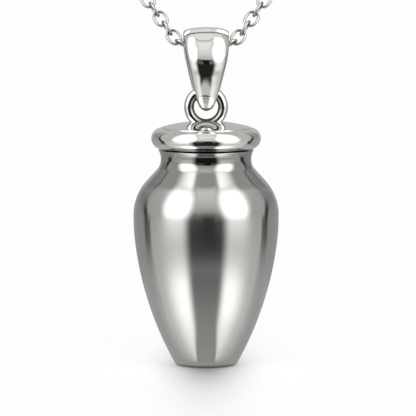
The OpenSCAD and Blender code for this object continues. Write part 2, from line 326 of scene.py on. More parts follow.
reach = CARD_DISTANCE  # each card stands 1 mm behind the last one, so that no two touch
for name, levels in PAIRED_CARDS.items():
    studio_card(name + "_right", reach, levels, 1, name == "soft_box")
    studio_card(name + "_left", reach, levels, -1, name == "soft_box")
    reach += MM
for name, levels in CARDS.items():
    studio_card(name, reach, levels)
    reach += MM
print(len(CARDS) + 2 * len(PAIRED_CARDS), "cards")

# %% [markdown]
# ## The table in the reflections
# The lower half of the urn mirrors the table round its foot. The soft boxes light it in two pools, left and
# right of the camera. Between them it is darker, and ends in a bright edge and a dark room. Lamps over a real
# table would blur all that, so a shader works the brightness out from the place on the table: how far it is
# from the foot, and in which direction.

# %% The mirrored table
TABLE_HALF = 0.6
TABLE_REACH = 100
# distance from the foot in mm, brightness
FRONT = [(0, 0.46), (10, 0.40), (17, 0.32), (27, 0.18), (31.5, 0.12), (33.4, 0.62), (36.5, 0.66),
         (37.0, 0.02), (100, 0.02)]
POOL = [(0, 0.6), (6, 1.1), (8, 1.3), (10, 1.5), (13, 1.7), (16, 1.9), (20, 2.0), (27, 1.9), (31, 1.55),
        (36, 1.15), (43, 0.85), (54, 0.68), (62, 0.66), (80, 0.85), (100, 1.1)]
SIDES = [(0, 0.7), (15, 0.8), (45, 0.68), (100, 0.6)]
GAP = [(0, 0.6), (15, 0.6), (40, 0.5), (60, 0.36), (76, 0.12), (100, 0.07)]
REAR = [(0, 0.48), (15, 0.48), (45, 0.5), (60, 0.42), (100, 0.4)]
# direction from the camera's side in degrees where one part of the table ends and the next begins
TABLE_PARTS = [(POOL, 24, 42), (SIDES, 50, 92), (GAP, 98, 101), (REAR, 112, 116)]
APEX = 4.5 * MM  # these directions are taken from a point this far in front of the foot's middle
FOOT_SHADE, SHADE_FROM, SHADE_TO = 1.5 * MM, 5 * MM, 13 * MM  # near the foot its shade widens the front part

table_top, tree = new_material("mirrored_table")
tree.nodes.clear()
spot = put(tree, "ShaderNodeTexCoord").outputs["Object"]
place = put(tree, "ShaderNodeSeparateXYZ", {"Vector": spot})
away = vector_math(tree, "LENGTH", spot)
ahead = math(tree, "SUBTRACT", math(tree, "MULTIPLY", place.outputs["Y"], -1.0), APEX)
shade = blend_between(tree, away, SHADE_FROM, SHADE_TO, FOOT_SHADE, 0.0)
aside = math(tree, "SUBTRACT", math(tree, "ABSOLUTE", place.outputs["X"]), shade)
direction = math(tree, "ARCTAN2", math(tree, "MAXIMUM", aside, 0.0), ahead)
reach = math(tree, "DIVIDE", away, TABLE_REACH * MM)


def brightness_over(tree, reach, stops):
    """a brightness that follows rows of distance and brightness"""
    top = max(value for _, value in stops)
    shares = [(distance / TABLE_REACH, plain(value / top)) for distance, value in stops]
    return math(tree, "MULTIPLY", ramp_of(tree, reach, shares), top)


lit = brightness_over(tree, reach, FRONT)
for part, start, end in TABLE_PARTS:
    share = blend_between(tree, direction, radians(start), radians(end))
    lit = mixed(tree, share, lit, brightness_over(tree, reach, part))
emit(tree, lit)
table = square_sheet("mirrored_table", TABLE_HALF, 0, table_top)
table.location = PENDANT - Vector((0, 0, 2 * FLOOR_DROP))
only_for_reflections(table)
print("table laid to", TABLE_HALF, "m")

# %% [markdown]
# ## Effects that the steels share
# Real polish is never perfect. Two effects are built once, as node groups, and each steel takes them with its
# own values. `handling` gives soft clouds of finger grease that dull the shine a little. `polish_lines` gives
# the hair-fine lines that a buffing wheel leaves: noise that is stretched along the direction of the work.

# %% Shared effects
def new_group(name, inputs, outputs):
    group = bpy.data.node_groups.new(name, "ShaderNodeTree")
    for socket, kind, value in inputs:
        made = group.interface.new_socket(socket, in_out="INPUT", socket_type=kind)
        if value is not None:
            made.default_value = value
    for socket, kind in outputs:
        group.interface.new_socket(socket, in_out="OUTPUT", socket_type=kind)
    return group, put(group, "NodeGroupInput").outputs


FLOAT, VECTOR, COLOR = "NodeSocketFloat", "NodeSocketVector", "NodeSocketColor"

handling, given = new_group(
    "handling",
    [("Vector", VECTOR, None), ("Cloud Size", FLOAT, 4 * MM), ("Steel", COLOR, (0.7, 0.7, 0.69, 1)),
     ("Roughness", FLOAT, 0.1), ("Smudge", FLOAT, 0.05)],
    [("Color", COLOR), ("Roughness", FLOAT)])
CLOUD_DETAIL, CLEAN_TO, GREASY_FROM = 1.5, 0.42, 0.72
SMUDGE_TINT = (0.955, 0.95, 0.94, 1)
size = math(handling, "DIVIDE", 1.0, given["Cloud Size"])
clouds = put(handling, "ShaderNodeTexNoise", {"Vector": given["Vector"], "Scale": size,
                                              "Detail": CLOUD_DETAIL}).outputs["Fac"]
mask = blend_between(handling, clouds, CLEAN_TO, GREASY_FROM)
duller = math(handling, "ADD", given["Roughness"], math(handling, "MULTIPLY", mask, given["Smudge"]))
tint = mixed(handling, mask, plain(1), SMUDGE_TINT, "RGBA")
steel = mixed(handling, 1.0, given["Steel"], tint, "RGBA", blend_type="MULTIPLY")
put(handling, "NodeGroupOutput", {"Color": steel, "Roughness": duller})

polish_lines, given = new_group(
    "polish_lines",
    [("Vector", VECTOR, None), ("Stretch", VECTOR, (1, 1, 1)), ("Depth", FLOAT, 0.02)],
    [("Height", FLOAT), ("Mask", FLOAT)])
LINE_DETAIL = 3.0
stretched = vector_math(polish_lines, "MULTIPLY", given["Vector"], given["Stretch"])
lines = put(polish_lines, "ShaderNodeTexNoise", {"Vector": stretched, "Scale": 1.0,
                                                 "Detail": LINE_DETAIL}).outputs["Fac"]
put(polish_lines, "NodeGroupOutput", {"Height": math(polish_lines, "MULTIPLY", lines, given["Depth"]),
                                      "Mask": lines})
print("effects:", handling.name, polish_lines.name)

# %% [markdown]
# ## The three steels
# The urn was turned on a lathe and buffed while it spun, so its fine lines run round it. Such lines blur a
# reflection up and down but not sideways, which is why the soft boxes have crisp sides and soft ends on the
# urn. In the shader this is anisotropy, with the tangent taken from the piece's own UV map. The lid, ring and
# bail are mirror polished by hand, and the chain is tumbled in a drum: bright, but less sharp. Where a piece
# has a painted-shade attribute, shade is painted into its corners and creases as dark steel. The urn's polish
# also changes with height: sharper in the neck, where the wheel's edge works, with a darker steel grey there,
# and a painted contact shade darkens the foot's lowest edge.

# %% Steels
# name, steel grey, roughness, smudge, cloud size in mm, anisotropy, line stretch per mm, line depth
STEELS = [
    ("urn_steel", 0.57, 0.17, 0.02, 5.0, 0.95, (0.25, 0.25, 22.0), 0.4),
    ("bright_steel", 0.78, 0.05, 0.02, 3.0, 0.0, (1.5, 1.5, 9.0), 0.12),
    ("chain_steel", 0.5, 0.08, 0.06, 1.2, 0.0, (6.0, 6.0, 6.0), 0.3),
]
WARMTH = (1.0, 0.992, 0.972)
LINE_BUMP = 0.01
ACROSS_THE_LINES = 0.25
# height above the foot where the urn's soft polish ends, and the roughness and steel grey of its neck
SOFT_UP_TO, SHARP_FROM, NECK_ROUGHNESS, NECK_STEEL = 22.3 * MM, 23.1 * MM, 0.05, 0.42
PAINTED_SHADE_GREY = 0.03  # the steel's brightness where shade is painted in corners, creases and at the foot's edge
FOOT_CONTACT_SHADE, CONTACT_SHADE_HEIGHT = 1.0, 0.55 * MM  # how strongly a painted contact shade darkens the foot's edge, and how high that reaches


def steel_grey(value):
    return (value * WARMTH[0], value * WARMTH[1], value * WARMTH[2], 1)


def steel_material(name, value, roughness, smudge, cloud, anisotropy, stretch, depth):
    material, tree = new_material(name)
    shader = tree.nodes["Principled BSDF"]
    shader.inputs["Metallic"].default_value = 1
    spot = put(tree, "ShaderNodeTexCoord").outputs["Object"]
    centred = put(tree, "ShaderNodeMapping", {"Vector": spot, "Location": -PENDANT}).outputs["Vector"]
    worn = put(tree, "ShaderNodeGroup", {"Vector": centred, "Cloud Size": cloud * MM,
                                         "Steel": steel_grey(value), "Roughness": roughness,
                                         "Smudge": smudge}, node_tree=handling)
    brushed = put(tree, "ShaderNodeGroup", {"Vector": centred, "Stretch": [s / MM for s in stretch],
                                            "Depth": depth}, node_tree=polish_lines)
    bump = put(tree, "ShaderNodeBump", {"Height": brushed.outputs["Height"], "Strength": LINE_BUMP,
                                        "Distance": LINE_BUMP * MM})
    # painted shade: where a piece stores it, its corners and creases turn to dark steel
    painted_shade = put(tree, "ShaderNodeAttribute", attribute_name="painted_shade").outputs["Fac"]
    colour = mixed(tree, painted_shade, worn.outputs["Color"], steel_grey(PAINTED_SHADE_GREY), "RGBA")
    tree.links.new(colour, shader.inputs["Base Color"])
    tree.links.new(worn.outputs["Roughness"], shader.inputs["Roughness"])
    tree.links.new(bump.outputs["Normal"], shader.inputs["Normal"])
    if anisotropy:
        shader.inputs["Anisotropic"].default_value = anisotropy
        shader.inputs["Anisotropic Rotation"].default_value = ACROSS_THE_LINES
        tangent = put(tree, "ShaderNodeTangent", direction_type="UV_MAP", uv_map="UVMap")
        tree.links.new(tangent.outputs["Tangent"], shader.inputs["Tangent"])
        height = put(tree, "ShaderNodeSeparateXYZ", {"Vector": centred}).outputs["Z"]
        on_neck = blend_between(tree, height, SOFT_UP_TO, SHARP_FROM)
        tree.links.new(mixed(tree, on_neck, roughness, NECK_ROUGHNESS), worn.inputs["Roughness"])
        neck_steel = mixed(tree, on_neck, steel_grey(value), steel_grey(NECK_STEEL), "RGBA")
        tree.links.new(neck_steel, worn.inputs["Steel"])
        # painted contact shade: the foot's lowest edge turns to dark steel
        in_contact_shade = blend_between(tree, height, 0.0, CONTACT_SHADE_HEIGHT, FOOT_CONTACT_SHADE, 0.0)
        tree.links.new(mixed(tree, in_contact_shade, colour, steel_grey(PAINTED_SHADE_GREY), "RGBA"), shader.inputs["Base Color"])
    return material


steels = {row[0]: steel_material(*row) for row in STEELS}
print("steels:", ", ".join(steels))

# %% [markdown]
# ## Outlines for turned pieces
# A turner works from half a section: the outline from the axis to the rim. We write it as rows of radius and
# height in millimetres, with arcs where the tool swung round, and a third number where a corner is eased.
# `ease_corners` replaces each such corner by a small arc, because a mirror polish has no true sharp edge.

# %% Outline helpers
def arc(centre, radius, start, end, steps):
    """points on an arc, angles in degrees"""
    angles = [radians(start + (end - start) * i / steps) for i in range(steps + 1)]
    return [(centre[0] + radius * cos(a), centre[1] + radius * sin(a), 0) for a in angles]


def walk(points, index, step, distance):
    """the point at a distance along the outline from a corner, and the index that it comes before"""
    here = Vector(points[index][:2])
    while True:
        there = Vector(points[index + step][:2])
        length = (there - here).length
        if length >= distance:
            return here + (there - here) * (distance / length), index + step
        distance -= length
        here, index = there, index + step


EASE_STEPS = 6


def ease_corners(points):
    eased, index = [], 0
    while index < len(points):
        radius, z, ease = points[index]
        if not ease:
            eased.append((radius, z))
            index += 1
            continue
        corner = Vector((radius, z))
        before = walk(points, index, -1, ease)[0]
        after, next_kept = walk(points, index, 1, ease)
        while len(eased) > 1 and (Vector(eased[-1]) - corner).length < ease:
            eased.pop()
        half_turn = (corner - before).angle(after - corner) / 2
        weight = cos(half_turn)
        for i in range(EASE_STEPS + 1):
            t = i / EASE_STEPS
            parts = ((1 - t) ** 2, 2 * weight * t * (1 - t), t ** 2)
            eased.append(tuple((before * parts[0] + corner * parts[1] + after * parts[2]) / sum(parts)))
        index = next_kept
    return eased


print("a right-angled corner becomes", EASE_STEPS + 1, "points")

# %% [markdown]
# ## The lathe
# Geometry Nodes turn an outline into a solid. A grid has one column for each point of the outline and one row
# for each step of the turn, and `Set Position` sends each grid point to its place: the radius and height come
# from the outline, the angle from the row. Merging by distance closes the seam and the two ends on the axis.
# The tree also writes a UV map, turn by length, which the steel uses to know which way the buffing lines run.

# %% Lathe tree
GEOMETRY, INT, MATERIAL = "NodeSocketGeometry", "NodeSocketInt", "NodeSocketMaterial"


def new_tree(name, inputs):
    tree = bpy.data.node_groups.new(name, "GeometryNodeTree")
    for socket, kind in inputs:
        tree.interface.new_socket(socket, in_out="INPUT", socket_type=kind)
    tree.interface.new_socket("Geometry", in_out="OUTPUT", socket_type=GEOMETRY)
    return tree, put(tree, "NodeGroupInput").outputs


def then(tree, kind, shape, inputs=None, **settings):
    """sends a shape through one more node"""
    return put(tree, kind, {"Geometry": shape, **(inputs or {})}, **settings).outputs[0]


def end_tree(tree, shape, material):
    """turns instances into real faces, gives the faces their material, and puts the shape out"""
    shape = then(tree, "GeometryNodeRealizeInstances", shape)
    shape = then(tree, "GeometryNodeSetMaterial", shape, {"Material": material})
    put(tree, "NodeGroupOutput", {"Geometry": shape})


def stored(tree, name):
    """the values that `store` kept under a name"""
    found = put(tree, "GeometryNodeInputNamedAttribute", {"Name": name}, data_type="FLOAT")
    return found.outputs["Attribute"]


TOUCHING = 1e-7  # points closer than this, in metres, become one
lathe, given = new_tree("lathe", [("Geometry", GEOMETRY), ("Steps", INT), ("Foot", VECTOR),
                                  ("Material", MATERIAL)])
outline_points = put(lathe, "GeometryNodeAttributeDomainSize", {"Geometry": given["Geometry"]}).outputs[0]
rows = math(lathe, "ADD", given["Steps"], 1)
grid = put(lathe, "GeometryNodeMeshGrid", {"Size X": 1.0, "Size Y": 1.0, "Vertices X": rows,
                                           "Vertices Y": outline_points})
index = put(lathe, "GeometryNodeInputIndex").outputs[0]
row = math(lathe, "FLOOR", math(lathe, "DIVIDE", math(lathe, "ADD", index, 0.5), outline_points))
column = math(lathe, "SUBTRACT", index, math(lathe, "MULTIPLY", row, outline_points))


def of_outline(value, data_type):
    """what the outline's point for this column holds"""
    picked = put(lathe, "GeometryNodeSampleIndex",
                 {"Geometry": given["Geometry"], "Value": value, "Index": column}, data_type=data_type)
    return picked.outputs["Value"]


point = of_outline(put(lathe, "GeometryNodeInputPosition").outputs[0], "FLOAT_VECTOR")
length = of_outline(stored(lathe, "along"), "FLOAT")
turn = math(lathe, "DIVIDE", row, given["Steps"])
spun = put(lathe, "ShaderNodeVectorRotate", {"Vector": point, "Axis": (0, 0, 1),
                                             "Angle": math(lathe, "MULTIPLY", turn, 2 * pi)}).outputs[0]
placed = vector_math(lathe, "ADD", spun, given["Foot"])
shape = then(lathe, "GeometryNodeSetPosition", grid.outputs["Mesh"], {"Position": placed})
uv = put(lathe, "ShaderNodeCombineXYZ", {"X": turn, "Y": length}).outputs[0]
shape = then(lathe, "GeometryNodeStoreNamedAttribute", shape, {"Name": "UVMap", "Value": uv},
             data_type="FLOAT2", domain="CORNER")
shape = then(lathe, "GeometryNodeMergeByDistance", shape, {"Distance": TOUCHING})
shape = then(lathe, "GeometryNodeSetShadeSmooth", shape, {"Shade Smooth": True})
end_tree(lathe, shape, given["Material"])
print("lathe tree with", len(lathe.nodes), "nodes")

# %% [markdown]
# A tree needs a mesh to start from and a modifier that runs it. The modifier's inputs are set by their
# sockets' identifiers. The result is copied to a plain mesh, because only plain meshes travel well to other
# programs. Its faces are then turned outwards, and its open edges are counted, to be sure that it is closed.

# %% Using a tree
def grow(name, start, tree, values):
    """runs a tree on a start mesh with named inputs, and returns the result as a plain mesh object"""
    seed = add_object(name + "_seed", start)
    modifier = seed.modifiers.new("nodes", "NODES")
    modifier.node_group = tree
    sockets = {s.name: s.identifier for s in tree.interface.items_tree if s.in_out == "INPUT"}
    for key, value in values.items():
        modifier[sockets[key]] = value
    ready = seed.evaluated_get(bpy.context.evaluated_depsgraph_get())
    mesh = bpy.data.meshes.new_from_object(ready)
    mesh.name = name
    bpy.data.objects.remove(seed)
    return add_object(name, mesh)


def face_outwards(piece):
    """turns every face of a closed mesh outwards"""
    work = bmesh.new()
    work.from_mesh(piece.data)
    bmesh.ops.recalc_face_normals(work, faces=work.faces)
    if work.calc_volume(signed=True) < 0:
        bmesh.ops.reverse_faces(work, faces=work.faces)
    volume = work.calc_volume(signed=True) / MM ** 3
    open_edges = sum(len(e.link_faces) != 2 for e in work.edges)
    work.to_mesh(piece.data)
    work.free()
    return round(volume, 1), open_edges


def line_mesh(name, points):
    """points joined by a line of bare edges"""
    mesh = bpy.data.meshes.new(name)
    mesh.from_pydata(points, [(i, i + 1) for i in range(len(points) - 1)], [])
    return mesh


def travelled(points):
    """how far along the line each of its points lies"""
    so_far = [0.0]
    for a, b in zip(points, points[1:]):
        so_far.append(so_far[-1] + hypot(b[0] - a[0], b[1] - a[1]))
    return so_far


def turned(name, outline, steps, material):
    flat = [(r * MM, z * MM) for r, z in outline]
    start = line_mesh(name + "_outline", [(r, 0, z) for r, z in flat])
    store(start, "along", travelled(flat))
    piece = grow(name, start, lathe, {"Steps": steps, "Foot": PENDANT, "Material": material})
    print(name, "turned:", len(piece.data.polygons), "faces, volume and open edges", face_outwards(piece))
    return piece


# %% [markdown]
# ## The urn
# The urn's side is one long arc from the foot, a shorter one at the belly, and a round shoulder that runs in
# a straight cone into the hollow of the neck. A lathe tool leaves a fine crease where the neck's hollow meets
# the cone. Inside, the chamber follows the outside one wall further in, up to the bore that the lid closes.
# We give a few radii and heights, and work out from them where each arc starts, ends and has its centre.

# %% Urn
TURN_STEPS = 180
body_r, belly_z, base_r, belly_arc_r, belly_arc = 9.08, 18.9, 3.73, 28.65, 7.5
foot_round, shoulder_r, neck_r, neck_z, neck_blend, flare_r, lip_z = 0.75, 6.4, 5.65, 25.9, 0.943, 2.32, 27.13
wall, floor_t, chamber_z, ceiling_slope, bore_r = 1.2, 1.8, 20.6, 25, 3.6
crease_growth = 1.07  # the neck's hollow is this much wider than one that would touch the cone

belly_c = (body_r - belly_arc_r, belly_z)
belly_u = Vector((cos(radians(belly_arc)), -sin(radians(belly_arc))))
belly_end = Vector(belly_c) + belly_arc_r * belly_u
side_chord = belly_end - Vector((base_r, 0))
side_r = side_chord.length_squared / (2 * belly_u.dot(side_chord))
side_c = belly_end - side_r * belly_u
foot_c = (side_c.x + sqrt((side_r - foot_round) ** 2 - (foot_round - side_c.y) ** 2), foot_round)
foot_a = degrees(atan2(foot_c[1] - side_c.y, foot_c[0] - side_c.x))

neck_in, neck_up = body_r - neck_r, neck_z - belly_z
neck_arc_r = neck_blend * (neck_in ** 2 + neck_up ** 2) / (2 * neck_in) - shoulder_r
shoulder_c = (body_r - shoulder_r, belly_z)
gap = Vector((neck_r + neck_arc_r - shoulder_c[0], neck_up))
shoulder_a = degrees(atan2(gap.y, gap.x) - acos((shoulder_r + neck_arc_r) / gap.length))
hollow_r = neck_arc_r * crease_growth
hollow_c = Vector((neck_r + hollow_r, neck_z))
cone_u = Vector((cos(radians(shoulder_a)), sin(radians(shoulder_a))))
cone_gap = (hollow_c - Vector(shoulder_c)).dot(cone_u) - shoulder_r
crease_a = shoulder_a + 180 - degrees(acos(cone_gap / hollow_r))
flare_a = degrees(asin((lip_z - neck_z) / flare_r))

high_a = degrees(asin((chamber_z - belly_z) / (shoulder_r - wall)))
low_a = degrees(asin((floor_t - side_c.y) / (side_r - wall)))
chamber_top_r = shoulder_c[0] + (shoulder_r - wall) * cos(radians(high_a))
bore_z = chamber_z + (chamber_top_r - bore_r) * tan(radians(ceiling_slope))
lip_r = neck_r + flare_r * (1 - cos(radians(flare_a)))
print("side of radius", round(side_r, 1), "mm, lip of radius", round(lip_r, 2), "mm")

# %% [markdown]
# Now the arcs join into one outline: from the middle of the foot up the outside, over the lip, and down the
# chamber to its floor. The outside gets many points, because a mirror shows every flat, and the inside few.

# %% The urn's outline
FOOT_STEPS, SIDE_STEPS, BELLY_STEPS, SHOULDER_STEPS, HOLLOW_STEPS, FLARE_STEPS = 10, 40, 10, 24, 12, 10
INSIDE_STEPS = (8, 6, 16)  # shoulder, belly and side of the chamber
CREASE_HOLD = 0.04  # a ring of points this close to the crease keeps its reflection crisp
edge_ease = 0.12

shoulder = arc(shoulder_c, shoulder_r, 0, shoulder_a, SHOULDER_STEPS)
hollow = arc(hollow_c, hollow_r, crease_a, 180, HOLLOW_STEPS)
cone_l = Vector(hollow[0][:2]) - Vector(shoulder[-1][:2])
cone = [tuple(Vector(shoulder[-1][:2]) + cone_l * t) + (0,) for t in (CREASE_HOLD, 0.5, 1 - CREASE_HOLD)]

urn_outline = (
    [(0, 0, 0)]
    + arc(foot_c, foot_round, -90, foot_a, FOOT_STEPS)
    + arc(side_c, side_r, foot_a, -belly_arc, SIDE_STEPS)[1:]
    + arc(belly_c, belly_arc_r, -belly_arc, 0, BELLY_STEPS)[1:]
    + shoulder[1:]
    + cone
    + hollow
    + arc((neck_r + flare_r, neck_z), flare_r, 180, 180 - flare_a, FLARE_STEPS)[1:-1]
    + [(lip_r, lip_z, edge_ease), (bore_r, lip_z, edge_ease), (bore_r, bore_z, edge_ease)]
    + arc(shoulder_c, shoulder_r - wall, 0, high_a, INSIDE_STEPS[0])[::-1]
    + arc(belly_c, belly_arc_r - wall, -belly_arc, 0, INSIDE_STEPS[1])[::-1][1:]
    + arc(side_c, side_r - wall, low_a, -belly_arc, INSIDE_STEPS[2])[::-1][1:]
    + [(0, floor_t, 0)]
)
urn = turned("urn_body", ease_corners(urn_outline), TURN_STEPS, steels["urn_steel"])

# %% [markdown]
# ## The lid
# The lid is turned as well, so the same lathe makes it: a plug that closes the bore, a bead round the rim, a
# fine step and a shallow dome.

# %% Lid
seam, bead_ring_r, bead_r, dome_r, dome_h, dome_step, step_ease = 0.1, 5.56, 1.285, 5.6, 0.78, 0.08, 0.03
plug_l, plug_gap = 3.2, 0.12
BEAD_STEPS, DOME_ARC_STEPS = 40, 24

bead_z = lip_z + seam + bead_r
lid_under = bead_z - bead_r
dome_edge = bead_z + bead_r + dome_step
dome_arc_r = (dome_r ** 2 + dome_h ** 2) / (2 * dome_h)
dome_top = dome_edge + dome_h
plug_r = bore_r - plug_gap
dome_low_a = 90 - degrees(asin(dome_r / dome_arc_r))
bead_end_a = degrees(acos((dome_r - bead_ring_r) / bead_r))
dome_arc = arc((0, dome_top - dome_arc_r), dome_arc_r, dome_low_a, 90, DOME_ARC_STEPS)
lid_outline = (
    [(0, lid_under - plug_l, 0), (plug_r, lid_under - plug_l, edge_ease), (plug_r, lid_under, 0)]
    + arc((bead_ring_r, bead_z), bead_r, -90, bead_end_a, BEAD_STEPS)
    + [(dome_r, dome_edge, step_ease)]
    + dome_arc[1:-1]
    + [(0, dome_top, 0)]
)
lid = turned("lid_body", ease_corners(lid_outline), TURN_STEPS, steels["bright_steel"])

# %% [markdown]
# ## The ring
# The ring is a plain round wire bent into a circle and soldered upright into the dome, so it becomes part of
# the lid. A circle swept by a circle is a torus. Blender has one ready, but a few lines of our own also make
# the links, the clasp and the bail: points in rings, and faces that close both ways. Shade is painted on the
# inner side of the ring's wire, as dark steel that grows toward the inside.

# %% Ring
ring_r, ring_wire, ring_sink = 2.12, 1.24, 0.96
RING_STEPS, WIRE_STEPS = 112, 32
ring_z = dome_top - ring_sink + ring_r + ring_wire / 2


def closed_faces(rings, sides):
    """the faces of a band that closes both ways, with so many rings round it and sides across"""
    return [(i * sides + j, (i + 1) % rings * sides + j, (i + 1) % rings * sides + (j + 1) % sides,
             i * sides + (j + 1) % sides) for i in range(rings) for j in range(sides)]


def torus_grid(rings, sides, place_of):
    """the points of such a band, which place_of(round, across) gives, and its faces"""
    verts = [place_of(i / rings, j / sides) for i in range(rings) for j in range(sides)]
    return verts, closed_faces(rings, sides)


# how dark the painted shade is, its share at the wire's sides, and how fast it grows toward the inside
RING_SHADE_DEPTH, SHADE_AT_SIDES, SHADE_GAIN = 0.8, 0.3, 1.2


def ring_point(around, across):
    a, b = 2 * pi * around, 2 * pi * across
    reach = ring_r + ring_wire / 2 * cos(b)
    return PENDANT + Vector((reach * cos(a), ring_wire / 2 * sin(b), ring_z + reach * sin(a))) * MM


def join_into(piece, other, material):
    """adds another object's mesh to a piece, removes that object, and gives both one material"""
    both = bmesh.new()
    both.from_mesh(piece.data)
    both.from_mesh(other.data)
    both.to_mesh(piece.data)
    both.free()
    bpy.data.objects.remove(other)
    piece.data.materials.clear()
    piece.data.materials.append(material)
    piece.data.polygons.foreach_set("material_index", [0] * len(piece.data.polygons))


ring = mesh_piece("lid_ring", *torus_grid(RING_STEPS, WIRE_STEPS, ring_point), steels["bright_steel"])
print("ring at", round(ring_z, 2), "mm, volume and open edges", face_outwards(ring))
body_points = len(lid.data.vertices)
join_into(lid, ring, steels["bright_steel"])
# painted shade on the inner side of the ring's wire
inward = [-cos(radians(360 * (v % WIRE_STEPS) / WIRE_STEPS)) for v in range(RING_STEPS * WIRE_STEPS)]
painted_shade = [RING_SHADE_DEPTH * max(0, min(1, SHADE_AT_SIDES + SHADE_GAIN * turned_in)) for turned_in in inward]
store(lid.data, "painted_shade", [0] * body_points + painted_shade)

# %% [markdown]
# ## The bail
# Seen from the side the bail is a drop: a round tip, a straight stretch and a wide arc, with a roll along its
# top edge that rises from the arc in a crease. Across, it is domed like half an ellipse, and it narrows
# toward the tip. It could be sculpted from a box, but its mirror polish would show every lump, so we compute
# it. Stations run once round the drop, and at each station a section runs across the dome, down the side,
# and back through the hole.

# %% Side view of the bail
bail_l, bail_half_w, tip_half_w, side_swell, tip_round = 10.5, 2.8, 0.75, 0.46, 0.3
bail_half_d, face_arc_r, lean, crease_a, roll_r, roll_a = 3.3, 4.4, 21, 60.5, 0.61, 5
dome_low, dome_high, roll_drop = 0.5, 0.25, 0.2
hole_drop, hole_r, ring_gap, tip_t, bail_turn = 2.75, 1.48, 0.15, 1.9, 4.5
FACE_STATIONS, ROLL_STATIONS, ARC_CUTS = 130, 24, 80

tip_low = ring_z + ring_r - ring_wire / 2 - ring_gap - tip_t
bail_top = tip_low + bail_l
hole_z = bail_top - hole_drop
face_c = Vector((bail_half_d - face_arc_r,
                 bail_top - roll_r * (1 - sin(radians(roll_a))) - face_arc_r * sin(radians(crease_a))))
lean_u = Vector((cos(radians(lean)), -sin(radians(lean))))
face_low = face_c + face_arc_r * lean_u
tip_r = (face_low.dot(lean_u) + tip_low * sin(radians(lean))) / (1 - sin(radians(lean)))
crease = face_c + face_arc_r * Vector((cos(radians(crease_a)), sin(radians(crease_a))))
roll_c = crease - roll_r * Vector((cos(radians(roll_a)), sin(radians(roll_a))))


def half_width(z):
    up = (z - tip_low) / bail_l
    low = min(1, max(0, 1 - (z - tip_low) / tip_round))
    wide = tip_half_w + (bail_half_w - tip_half_w) * up + 4 * side_swell * up * (1 - up)
    return wide * sqrt(1 - low ** 2)


def side_view(parts, count):
    """points spaced evenly along arcs given as centre, radius, start and end; each with its normal's angle"""
    fine = []
    for centre, radius, start, end in parts:
        for i in range(ARC_CUTS + 1):
            a = start + (end - start) * i / ARC_CUTS
            fine.append((centre[0] + radius * cos(radians(a)), centre[1] + radius * sin(radians(a)), a))
    so_far = travelled(fine)
    spaced, k = [], 0
    for i in range(count + 1):
        goal = so_far[-1] * i / count
        while k < len(fine) - 2 and so_far[k + 1] < goal:
            k += 1
        span = so_far[k + 1] - so_far[k]
        t = (goal - so_far[k]) / span if span else 0
        spaced.append(tuple(between(a, b, t) for a, b in zip(fine[k], fine[k + 1])))
    return spaced


face_view = side_view([((0, tip_low + tip_r), tip_r, -90, -lean), (face_c, face_arc_r, -lean, crease_a)],
                      FACE_STATIONS)
roll_view = side_view([(roll_c, roll_r, roll_a, 90), ((0, roll_c.y), roll_r, 90, 90)], ROLL_STATIONS)
outside = face_view + roll_view
print("side view with", len(outside), "stations, tip radius", round(tip_r, 2), "mm")

# %% [markdown]
# The hole through the bail is a drop too, and its lower end is a saddle for the ring's wire. The saddle
# follows the ring's curve, so the ring hangs in it without a gap.

# %% Hole of the bail
saddle_wire_gap = 0.19
RING_SHARE = 0.9  # the saddle follows the ring's curve over this share of its radius
VIEW_STEP, VIEWS = 0.1, 31  # the hole is worked out at so many places from the middle outwards
last_station = len(outside) - 1


def hole_view(x):
    """the hole's outline at x: the saddle sinks toward the sides as the ring does"""
    sunk = ring_r - sqrt(ring_r ** 2 - min(abs(x), RING_SHARE * ring_r) ** 2)
    saddle_r = ring_wire / 2 + saddle_wire_gap
    saddle_z = ring_z + ring_r - ring_wire / 2 - ring_gap + saddle_r - sunk
    slope = degrees(asin((hole_r - saddle_r) / (hole_z - saddle_z)))
    parts = [((0, saddle_z), saddle_r, -90, -slope), ((0, hole_z), hole_r, -slope, 90)]
    return side_view(parts, last_station)


hole_views = [hole_view(i * VIEW_STEP) for i in range(VIEWS)]


def hole_point(station, x):
    where = min(abs(x) / VIEW_STEP, VIEWS - 1.001)  # a hair short of the last view, so that a next one exists
    k, t = int(where), where % 1
    return [between(a, b, t) for a, b in zip(hole_views[k][station], hole_views[k + 1][station])]


print("hole from", round(hole_views[0][0][1], 2), "to", round(hole_views[0][-1][1], 2), "mm above the foot")

# %% [markdown]
# Now the sections. Across the front each one is half an ellipse, which leans back along the face's slope. The
# roll is straighter: it only drops toward its ends, and its ends are eased so that they don't cut the light.
# The front's sections and their mirror images at the back close into one loop of faces.

# %% Bail
DOME_STEPS, HOLE_STEPS, INNER_STEPS = 20, 4, 5
hole_ease, roll_ease, crease_ledge, thinnest = 0.1, 0.3, 0.02, 0.02


def half_section(station):
    """one side of the section at a station, from the dome's middle to the hole's middle: x, depth, height"""
    depth, z, a = outside[station]
    on_roll = station > FACE_STATIONS
    w = max(half_width(z), thinnest)
    share = roll_drop if on_roll else between(dome_low, dome_high, max(0, a) / crease_a)
    slope = radians(90 if on_roll else a)
    points = []
    for i in range(DOME_STEPS + 1):
        t = pi / 2 * i / DOME_STEPS
        drop = share * w * (1 - cos(t))
        eased = (roll_ease * (1 - cos(t)) - crease_ledge) * depth / crease.x if on_roll else 0
        points.append((w * sin(t), depth - drop * cos(slope) - eased, z - drop * sin(slope)))
    rim = hole_point(station, half_width(hole_views[0][station][1]))
    rim_x = half_width(rim[1])
    outward = Vector((cos(radians(rim[2])), sin(radians(rim[2]))))
    for i in range(HOLE_STEPS + 1):
        b = pi / 2 * i / HOLE_STEPS
        wider, inset = hole_ease * (1 - sin(b)), hole_ease * (1 - cos(b))
        points.append((rim_x - inset, rim[0] + wider * outward.x, rim[1] + wider * outward.y))
    inner = rim_x - hole_ease
    for i in range(1, INNER_STEPS + 1):
        x = inner * (1 - i / INNER_STEPS)
        y, z, _ = hole_point(station, x)
        points.append((x, y, z))
    return points


